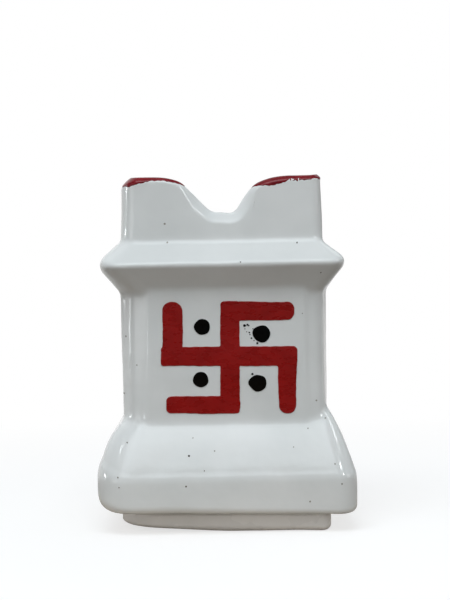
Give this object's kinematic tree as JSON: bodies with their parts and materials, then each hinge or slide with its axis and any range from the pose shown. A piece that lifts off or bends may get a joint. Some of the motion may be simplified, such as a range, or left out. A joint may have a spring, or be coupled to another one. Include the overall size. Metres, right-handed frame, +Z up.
{
  "type": "ceramic plant pot",
  "caption": "Square glazed ceramic planter with a notched parapet and corner horns, a ledge, a panelled waist and a flared base, standing in a shallow drip tray.",
  "frame": {"origin": "middle of the drip tray's underside, on the surface it stands on", "axes": "+Z up, -Y out of the front, the side that the scene shows painted; +X to the right as seen from the front"},
  "size_m": [0.18, 0.18, 0.2458],
  "materials": {
    "pot_glaze": "gloss",
    "tray_glaze": "satin",
    "red_enamel": "gloss",
    "black_enamel": "gloss"
  },
  "bodies": {
    "tray": {"drip_tray": "tray_glaze"},
    "pot": {"pot": "pot_glaze"}
  },
  "joints": [
    {"name": "pot_lift", "type": "slide", "parent": "tray", "child": "pot", "axis": [0, 0, 1], "range_m": [0, 0.05]}
  ]
}
